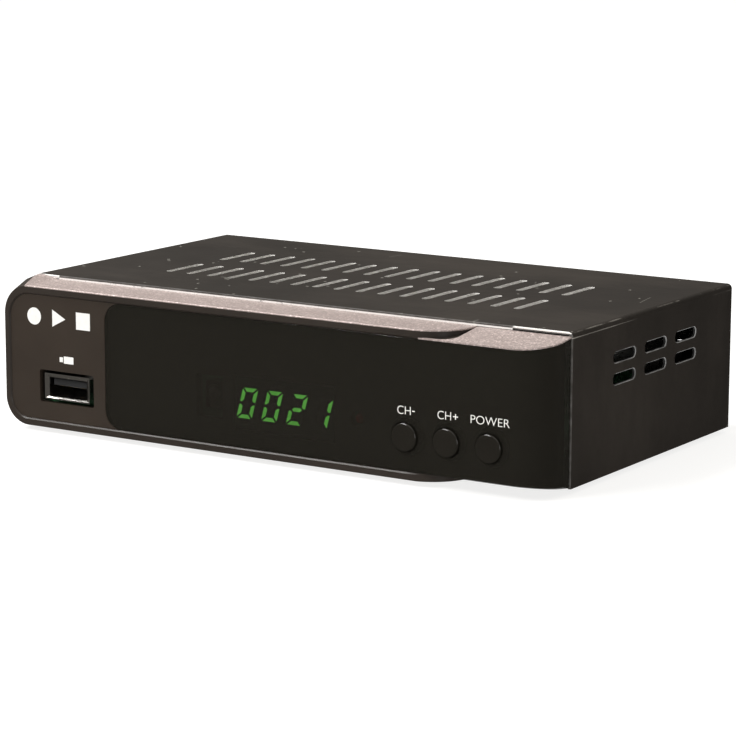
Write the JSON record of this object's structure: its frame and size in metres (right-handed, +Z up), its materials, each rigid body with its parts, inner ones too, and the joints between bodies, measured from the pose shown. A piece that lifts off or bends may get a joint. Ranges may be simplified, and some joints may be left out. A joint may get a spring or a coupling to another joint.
{
  "type": "digital television receiver and recorder",
  "caption": "Compact digital TV set-top receiver with USB recording: slotted black steel case, smoked front window, green digit display and push keys.",
  "frame": {"origin": "centre of the whole object's box, on the standing surface under the four feet", "axes": "+Z up, +X to the right seen from the front, the front panel faces -Y"},
  "size_m": [0.1656, 0.1108, 0.0403],
  "materials": {
    "case_paint": "satin black paint on steel, bare bright metal at the cut edges",
    "tray_paint": "satin black paint on steel",
    "foot_rubber": "matt black rubber",
    "screw_steel": "zinc-plated steel",
    "bezel_plastic": "satin brown-black moulding",
    "trim_silver": "champagne silver metallic paint with a fine fleck",
    "window_acrylic": "dark smoked acrylic, polished",
    "panel_plastic": "satin brown-black moulding",
    "key_plastic": "polished black",
    "black_plastic": "black glass-filled nylon",
    "white_plastic": "natural nylon",
    "display_plastic": "grey-black potted face",
    "lit_green": "lit green strokes",
    "segment_grey": "unlit strokes",
    "ir_epoxy": "dark infrared-pass epoxy",
    "led_red": "unlit red epoxy",
    "board_green": "green solder resist",
    "ribbon_grey": "grey ribbon insulation",
    "standoff_brass": "turned brass",
    "chip_epoxy": "moulded epoxy",
    "thermal_rubber": "thermal pad",
    "sink_aluminium": "extruded, satin",
    "tinned_steel": "tin-plated steel",
    "capacitor_can": "sleeved can",
    "ferrite": "ferrite grey",
    "chip_ceramic": "ceramic and tin",
    "socket_steel": "nickel-plated steel",
    "contact_gold": "gold-plated contact",
    "audio_orange": "orange moulding"
  },
  "bodies": {
    "root": {"top_cover": "case_paint", "bottom_tray": "tray_paint", "rubber_feet": "foot_rubber", "cover_screws": "screw_steel", "front_bezel": "bezel_plastic", "upper_trim": "trim_silver", "lower_trim": "trim_silver", "front_window": "window_acrylic", "usb_panel": "panel_plastic", "switch_bodies": "black_plastic", "switch_domes": "tinned_steel", "display_module": "display_plastic", "lit_segments": "lit_green", "dark_segments": "segment_grey", "ir_receiver": "ir_epoxy", "standby_led": "led_red", "front_board": "board_green", "front_board_screws": "screw_steel", "ribbon_lead": "ribbon_grey", "lead_headers": "white_plastic", "main_board": "board_green", "board_standoffs": "standoff_brass", "board_screws": "screw_steel", "soc_chip": "chip_epoxy", "thermal_pad": "thermal_rubber", "heat_sink": "sink_aluminium", "memory_chips": "chip_epoxy", "flash_chip": "chip_epoxy", "crystals": "tinned_steel", "capacitors": "capacitor_can", "inductors": "ferrite", "regulators": "chip_epoxy", "chip_parts": "chip_ceramic", "usb_shell": "socket_steel", "usb_tongue": "black_plastic", "usb_contacts": "contact_gold", "jack_body": "black_plastic", "jack_pin": "socket_steel", "audio_sleeve": "socket_steel", "audio_body": "audio_orange", "hdmi_shell": "socket_steel", "hdmi_tongue": "black_plastic", "scart_socket": "black_plastic", "scart_contacts": "contact_gold", "tuner_can": "tinned_steel", "aerial_barrels": "socket_steel", "aerial_insulators": "white_plastic", "aerial_contacts": "contact_gold"},
    "ch_down_key": {"ch_down_key": "key_plastic"},
    "ch_down_plunger": {"ch_down_plunger": "black_plastic"},
    "ch_up_key": {"ch_up_key": "key_plastic"},
    "ch_up_plunger": {"ch_up_plunger": "black_plastic"},
    "power_key": {"power_key": "key_plastic"},
    "power_plunger": {"power_plunger": "black_plastic"}
  },
  "joints": [
    {"name": "ch_down_press", "type": "slide", "parent": "root", "child": "ch_down_key", "axis": [0, 1, 0], "range_m": [0, 0.0005], "stiffness_N_per_m": 1500, "springref_m": -0.0005},
    {"name": "ch_down_switch", "type": "slide", "parent": "root", "child": "ch_down_plunger", "axis": [0, 1, 0], "range_m": [0, 0.0005]},
    {"name": "ch_up_press", "type": "slide", "parent": "root", "child": "ch_up_key", "axis": [0, 1, 0], "range_m": [0, 0.0005], "stiffness_N_per_m": 1500, "springref_m": -0.0005},
    {"name": "ch_up_switch", "type": "slide", "parent": "root", "child": "ch_up_plunger", "axis": [0, 1, 0], "range_m": [0, 0.0005]},
    {"name": "power_press", "type": "slide", "parent": "root", "child": "power_key", "axis": [0, 1, 0], "range_m": [0, 0.0005], "stiffness_N_per_m": 1500, "springref_m": -0.0005},
    {"name": "power_switch", "type": "slide", "parent": "root", "child": "power_plunger", "axis": [0, 1, 0], "range_m": [0, 0.0005]}
  ],
  "couplings": [
    {"joint": "ch_down_switch", "follows": "ch_down_press", "ratio": 1},
    {"joint": "ch_up_switch", "follows": "ch_up_press", "ratio": 1},
    {"joint": "power_switch", "follows": "power_press", "ratio": 1}
  ]
}
